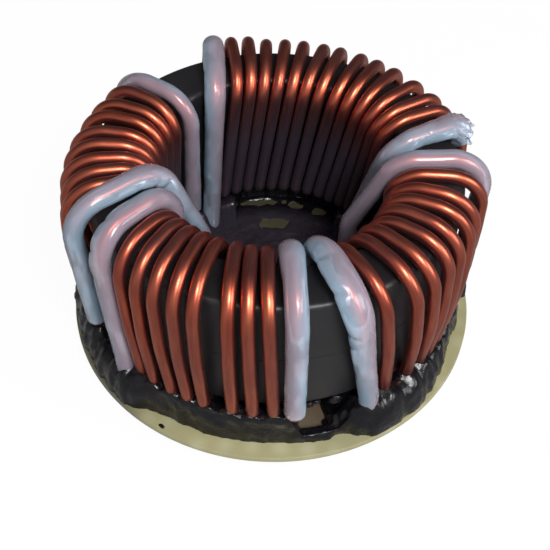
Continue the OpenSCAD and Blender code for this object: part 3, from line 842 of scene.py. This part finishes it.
# %% Sleeves
def sleeve(name, w, end):
    bm = bmesh.new()
    ring = start_ring(bm, SLEEVE_OD / 2, SLEEVE_SIDES)
    stops = places(sleeve_route(w, end), straight=0.5, turn=0.06)
    total = stops[-1][1]
    bore, less = (WIRE_D + 2 * SLEEVE_GAP) / SLEEVE_OD, 2 * WALL / SLEEVE_OD
    outer, inner, centres = [], [], []
    for here, run in stops:
        wide, thick = eased(SHAPES[name], run / total)
        ahead = here.col[2].xyz.normalized()
        x, y = here.translation.xy.normalized()
        along_case = Vector((-y, x, 0)) * (1 if end == "first" else -1)
        out = along_case.cross(ahead).normalized()
        side = ahead.cross(out)
        centres.append((run, here.translation.copy(), side, out, ahead))
        local = here.to_3x3().inverted() @ side
        turn = Matrix.Rotation(math.atan2(local.y, local.x), 4, "Z")
        for found, w_share, t_share, sign in (
                (outer, wide, thick, 1), (inner, max(wide - less, bore), max(thick - less, bore), -1)):
            form = turn @ Matrix.Diagonal((w_share, t_share, 1, 1)) @ turn.inverted()
            found.append((here @ form, sign * run))
    stops = outer + inner[::-1]
    bmesh.ops.transform(bm, matrix=stops[0][0], verts=bm.verts[:])
    far = carry(bm, ring, stops)
    bmesh.ops.bridge_loops(bm, edges=ring + far)
    worn(bm, name, centres, total)
    piece(f"sleeving_{name}", bm, SLEEVING, [f"sleeve_{name}"], crease=60)


for name, w in WINDINGS.items():
    ends = {"back": ("right", "left"), "left": ("rear", "front"),
            "front": ("left", "right"), "right": ("front", "rear")}[name]
    sleeve(f"{name}_{ends[0]}", w, "first")
    sleeve(f"{name}_{ends[1]}", w, "last")


# %% [markdown]
# ## The adhesive
#
# One bed of adhesive lies below the windings and banks up round the feet of their
# outer legs. It is a height over the board: we carry a ring outwards in small
# steps and lift each point by rules that a hand with a spatula would follow. The
# bed starts with a toe in the well, rises to a bank past the case, clings to each
# leg, falls off at a wandering border, and stays low in the front gap.

# %% Rules of the bed
# Azimuth and value, with straight runs between: how far the border lies beyond the
# legs, how far the toe draws back from the well, and the bank's share of its height
BORDER = [(0, 2.6), (18, 2.2), (40, 2.8), (75, 2.4), (110, 2.8), (150, 2.5), (185, 2.8),
          (212, 2.2), (223, 2.5), (228, 2.7), (234, 1), (242, 0.5), (248, 0.4), (252, 0.7),
          (257, 0.4), (263, 0.6), (267, 0.4), (271, 0.4), (276, 0.5), (286, 0.7), (292, 0.6),
          (298, 2.2), (301, 2.8), (319, 2.5), (332, 1.2), (342, 0.6), (346, 1.3), (351, 0.5),
          (358, 0.8), (360, 2.6)]
DRAWN_BACK = [(0, 0), (52, 0), (62, 8.5), (106, 8.5), (114, 0), (360, 0)]
LEVEL = [(0, 1), (276, 1), (280, 0.25), (291, 0.25), (296, 1), (360, 1)]
POCKET = (279.5, 289.5, case_ro - 7, case_ro + 1)   # bare board below the case
# Beads on top of it: azimuth, radius, height and half width
BEADS = [(291, 38.6, 1.6, 0.9), (292.5, 39.6, 1.2, 0.7), (294.5, 40.6, 1.0, 0.6), (288.5, 38, 0.6, 1.2),
         (298, 41.6, 0.7, 0.6), (305, 42, 0.6, 0.5)]
legs_r = wire_ro + WIRE_D / 2
bank_r = legs_r + 0.1
bed_h = wire_z0 - WIRE_D / 2 - BOARD_T


def along(table, azimuth):
    for (a, u), (b, v) in zip(table, table[1:]):
        if azimuth <= b:
            return u + (v - u) * (azimuth - a) / (b - a)
    return table[-1][1]


def smooth(low, high, x):
    t = min(1, max(0, (x - low) / (high - low)))
    return t * t * (3 - 2 * t)


def lumps(r, azimuth, size, seed, height=0):
    """Smooth bumps between -1 and 1, as far apart as size in mm."""
    p = at(r, azimuth, height) / size
    return noise.fractal(Vector((p.x, p.y, p.z + seed)), 0.9, 2.0, 3)


# %% Height of the bed
feet = [at(wire_ro, turn_azimuths(w, k)[0], 0).xy
        for w in WINDINGS.values() for k in range(len(w["turns"]))]
feet += [at(sleeve_ro, lead_azimuths(w, end)[0], 0).xy
         for w in WINDINGS.values() for end in ("first", "last")]


def bed_height(r, azimuth, toe):
    """Height of the adhesive above the board, short of its border."""
    fill = along(LEVEL, azimuth)
    height = (bed_h + 0.5 * lumps(r, azimuth, 4, 1)) * smooth(toe - 0.2, toe + 2.2, r)
    height += (GLUE_H - bed_h) * smooth(case_ro - 1.5, case_ro + 0.4, r)
    here = at(r, azimuth, 0).xy
    if r > case_ro - 1:
        near = min((here - f).length for f in feet)
        height += 0.9 * math.exp(-((near - WIRE_D / 2) / 0.8) ** 2) * smooth(0, 1, fill)
        height += 0.55 * lumps(r, azimuth, 3.4, 5) + 0.12 * lumps(r, azimuth, 1.2, 9)
    height *= fill
    first, last, inner, outer = POCKET
    middle, half = (first + last) / 2, (last - first) / 2
    side = 1 - smooth(half - 1, half + 0.6, abs(azimuth - middle) + 0.5 * lumps(r, azimuth, 3, 3))
    depth = smooth(inner - 0.4, inner + 0.6, r) * (1 - smooth(outer - 0.6, outer + 0.5, r))
    height = height * (1 - side * depth) - 0.3 * side * depth
    for middle, radius, tall, half in BEADS:
        off = (here - at(radius, middle, 0).xy).length / half
        height += tall * math.exp(-off * off)
    return height


# %% Adhesive bed
BED_POINTS, SUNK = 600, 0.05        # points in a ring; how deep the underside lies in the board
bm = bmesh.new()
toe_r = wire_ri - WIRE_D - 0.8
bank_r0 = case_ro - 1.6             # the bank starts under the case's outer edge
bmesh.ops.create_circle(bm, segments=BED_POINTS, radius=toe_r)
bottom_in = edges = bm.edges[:]
for v in bm.verts:
    v.co.z = BOARD_T - SUNK
zones = [("inside", (i / 22) ** 1.1) for i in range(23)]        # toe to bank
zones += [("bank", i / 14) for i in range(1, 15)]               # from there to the legs' far side
zones += [("fall", math.radians(a)) for a in (15, 30, 42, 52, 61, 69, 76, 82, 87, 90)]
for zone, t in zones:
    verts, edges = grow(bm, edges)
    for v in verts:
        azimuth = math.degrees(math.atan2(v.co.y, v.co.x)) % 360
        toe = toe_r + along(DRAWN_BACK, azimuth) + 0.5 * lumps(toe_r, azimuth, 3, 7)
        reach = 1.5 * along(BORDER, azimuth) - 0.45
        reach += (0.25 + 0.3 * reach) * lumps(44, azimuth, 4.5, 11) + 0.25 * lumps(44, azimuth, 1.8, 17)
        reach = min(max(0.12, reach), BOARD_D / 2 - 0.15 - bank_r)
        if zone == "inside":
            r = toe + (bank_r0 - toe) * t
            height = bed_height(r, azimuth, toe) if t else -SUNK
        elif zone == "bank":
            r = bank_r0 + (bank_r - bank_r0) * t
            height = bed_height(r, azimuth, toe)
        else:
            r = bank_r + reach * math.sin(t)
            height = bed_height(bank_r, azimuth, toe) * math.cos(t) ** 0.8
            r += 0.5 * lumps(r, azimuth, 3.5, 13, height) * math.sin(2 * t)
            height += 0.8 * lumps(r, azimuth, 4, 15, height) * math.sin(2 * t)
        v.co = at(r, azimuth, BOARD_T + height - 0.03)
bmesh.ops.bridge_loops(bm, edges=bottom_in + edges)
piece("adhesive_bed", bm, ADHESIVE, ["adhesive"], crease=80)

# %% [markdown]
# A few drops stayed behind: some hang on the case's lower edge in the front gap,
# and two dried on the board outside the border. Each is a ball, squashed and
# lumpy, sunk a little into what it sits on.

# %% Adhesive drops
# Azimuth, radius, height over the frame's ground, then half length along the edge,
# half width and half height
DROPS = [(278.6, 38.2, case_z0 - 0.2, 0.9, 0.55, 0.7), (280.4, 38.1, case_z0, 0.9, 0.5, 0.6),
         (282.5, 38.2, case_z0 - 0.3, 1.1, 0.55, 0.8), (284.8, 38.1, case_z0, 0.9, 0.5, 0.6),
         (290.6, 38.3, case_z0 - 0.4, 1.5, 0.7, 1.1),
         (240.6, 44.0, BOARD_T, 0.7, 0.4, 0.3), (302.5, 44.3, BOARD_T, 1.1, 0.25, 0.2)]
bm = bmesh.new()
for azimuth, r, z, half_along, half_across, half_up in DROPS:
    turn = Matrix.Rotation(math.radians(azimuth), 4, "Z")
    size = Matrix.Diagonal((half_across, half_along, half_up, 1))
    ball = bmesh.ops.create_icosphere(
        bm, subdivisions=4, radius=1, matrix=Matrix.Translation(at(r, azimuth, z)) @ turn @ size)
    for v in ball["verts"]:
        v.co += (v.co - at(r, azimuth, z)) * 0.35 * noise.noise(v.co / 0.5)
piece("adhesive_drops", bm, ADHESIVE)

# %% [markdown]
# Some of the adhesive ran into the well and cured as a thin film over the board.
# It is a sheet a few tenths of a millimetre high; where its height falls below the
# board's face the laminate shows through, so the bare patches need no cutting.

# %% Adhesive film in the well
# Bare patches: azimuth and radius of the middle, half length across, half depth
PATCHES = [(96, 28.6, 4.6, 1.0), (80, 28.2, 1.6, 1.1), (67, 28, 1.8, 1.2), (90, 21, 3.4, 1.6),
           (20, 17, 1.2, 0.8)]
FILM_R0, FILM_STEP, FILM_RINGS = 0.6, 0.35, 90
bm = bmesh.new()
bmesh.ops.create_circle(bm, cap_ends=True, cap_tris=True, segments=240, radius=FILM_R0)
edges = [e for e in bm.edges if e.is_boundary]
for step in range(1, FILM_RINGS):
    verts, edges = grow(bm, edges)
    for v in verts:
        v.co = v.co.normalized() * (FILM_R0 + FILM_STEP * step)
for v in bm.verts:
    r, azimuth = v.co.length, math.degrees(math.atan2(v.co.y, v.co.x)) % 360
    height = 0.32 + 0.3 * lumps(r, azimuth, 5, 21) + 0.12 * lumps(r, azimuth, 1.6, 23)
    for middle, radius, half_across, half_deep in PATCHES:
        off = v.co - at(radius, middle, 0)
        out = at(1, middle, 0)
        across, deep = out.cross(Vector((0, 0, 1))).dot(off) / half_across, out.dot(off) / half_deep
        gap = math.hypot(across, deep) + 0.5 * lumps(r, azimuth, 2, 25)
        height -= 0.9 * (1 - smooth(0.6, 1.3, gap))
    height -= 0.6 * smooth(30.9, 31.6, r)
    v.co.z = BOARD_T + height
piece("adhesive_film", bm, ADHESIVE, crease=80)


# %% [markdown]
# ## The studio
#
# A white paper floor, two soft disc lamps and a plain world. To the camera, in
# reflections and through the sleeves the floor is mostly a flat white, and the
# rest of it keeps the part's shadow. The world is white to the camera and an even
# grey for the light that it casts. In reflections it is brighter in front of the
# part than behind it.

# %% Floor
FLOOR_SIZE, FLOOR_GAP = 3, 0.0001       # metres; the gap is below the pins' tips
FLAT_SHARE = 0.95                       # share of the flat white in what is seen of the floor
FLOOR_IN_GLOSS = 0.3                    # and how bright that white is in a reflection


def paper():
    material, tree = new_material("white_paper")
    path = add(tree, "LightPath")
    seen = add(tree, "Math", {0: path.outputs["Is Camera Ray"], 1: path.outputs["Is Glossy Ray"]},
               operation="MAXIMUM")
    seen = add(tree, "Math", {0: seen, 1: path.outputs["Is Transmission Ray"]}, operation="MAXIMUM")
    share = add(tree, "Math", {0: seen, 1: FLAT_SHARE}, operation="MULTIPLY")
    matt = add(tree, "BsdfDiffuse", {"Color": srgb("#F4F4F4")})
    plain = add(tree, "MapRange", {
        "Value": path.outputs["Is Glossy Ray"], "To Min": 1.0, "To Max": FLOOR_IN_GLOSS})
    white = add(tree, "Emission", {"Strength": plain})
    mixed = add(tree, "MixShader", {0: share, 1: matt, 2: white})
    add(tree, "OutputMaterial", {"Surface": mixed})
    return material


bm = bmesh.new()
bmesh.ops.create_grid(bm, x_segments=1, y_segments=1, size=FLOOR_SIZE)
bmesh.ops.translate(bm, vec=(0, 0, -PIN_L * MM - FLOOR_GAP), verts=bm.verts[:])
mesh = bpy.data.meshes.new("floor")
bm.to_mesh(mesh)
bm.free()
mesh.materials.append(paper())
new_object("floor", mesh)
print("floor at", round(-PIN_L, 2), "mm")


# %% Lamps and world
LAMPS_AIM = Vector((0, 0, 0.02))
WORLD_LIGHT, GLOSS_FRONT, GLOSS_BACK = 0.42, 0.5, 0.06


def lamp(name, place, size, watts):
    data = bpy.data.lights.new(name, "AREA")
    data.shape, data.size, data.energy = "DISK", size, watts
    made = new_object(name, data)
    made.location = place
    made.rotation_euler = (LAMPS_AIM - Vector(place)).to_track_quat("-Z", "Y").to_euler()


def studio_world():
    world = bpy.data.worlds.new("studio")
    world.use_nodes = True
    tree = world.node_tree
    tree.nodes.clear()
    path = add(tree, "LightPath")
    direction = add(tree, "TexCoord")
    axes = add(tree, "SeparateXYZ", {0: direction.outputs["Generated"]})
    in_gloss = add(tree, "MapRange", {
        "Value": axes.outputs["Y"], "From Min": -0.8, "From Max": 0.4,
        "To Min": GLOSS_FRONT, "To Max": GLOSS_BACK})
    room = add(tree, "Mix", {
        0: path.outputs["Is Glossy Ray"], 2: WORLD_LIGHT, 3: in_gloss}, data_type="FLOAT")
    room = add(tree, "Mix", {0: path.outputs["Is Camera Ray"], 2: room, 3: 1.0}, data_type="FLOAT")
    light = add(tree, "Background", {"Color": srgb("#FFFFFF"), "Strength": room})
    add(tree, "OutputWorld", {"Surface": light})
    return world


lamp("key", (0.14, -0.38, 0.5), 0.2, 3.1)
lamp("right_fill", (0.4, -0.2, 0.25), 0.25, 1.0)
bpy.context.scene.world = studio_world()
bpy.context.scene.view_settings.view_transform = "Standard"

# %% [markdown]
# ## The camera
#
# The view is from the front and well above, about 48 degrees, from some 20 cm
# away, close enough for the near turns to look larger than the far ones.

# %% Camera
EYE, AIM, ROLL = Vector((0.585, -143.12, 168.05)), Vector((0, 0.66273, -0.74886)), 1.957
camera = bpy.data.cameras.new("camera")
camera.lens, camera.sensor_width = 61.83, 36
camera.clip_start = 0.01
eye = new_object("camera", camera)
eye.matrix_world = (
    Matrix.Translation(EYE * MM) @ AIM.to_track_quat("-Z", "Y").to_matrix().to_4x4()
    @ Matrix.Rotation(math.radians(ROLL), 4, "Z"))
bpy.context.scene.camera = eye
print("camera", [round(c, 4) for c in eye.matrix_world.translation])
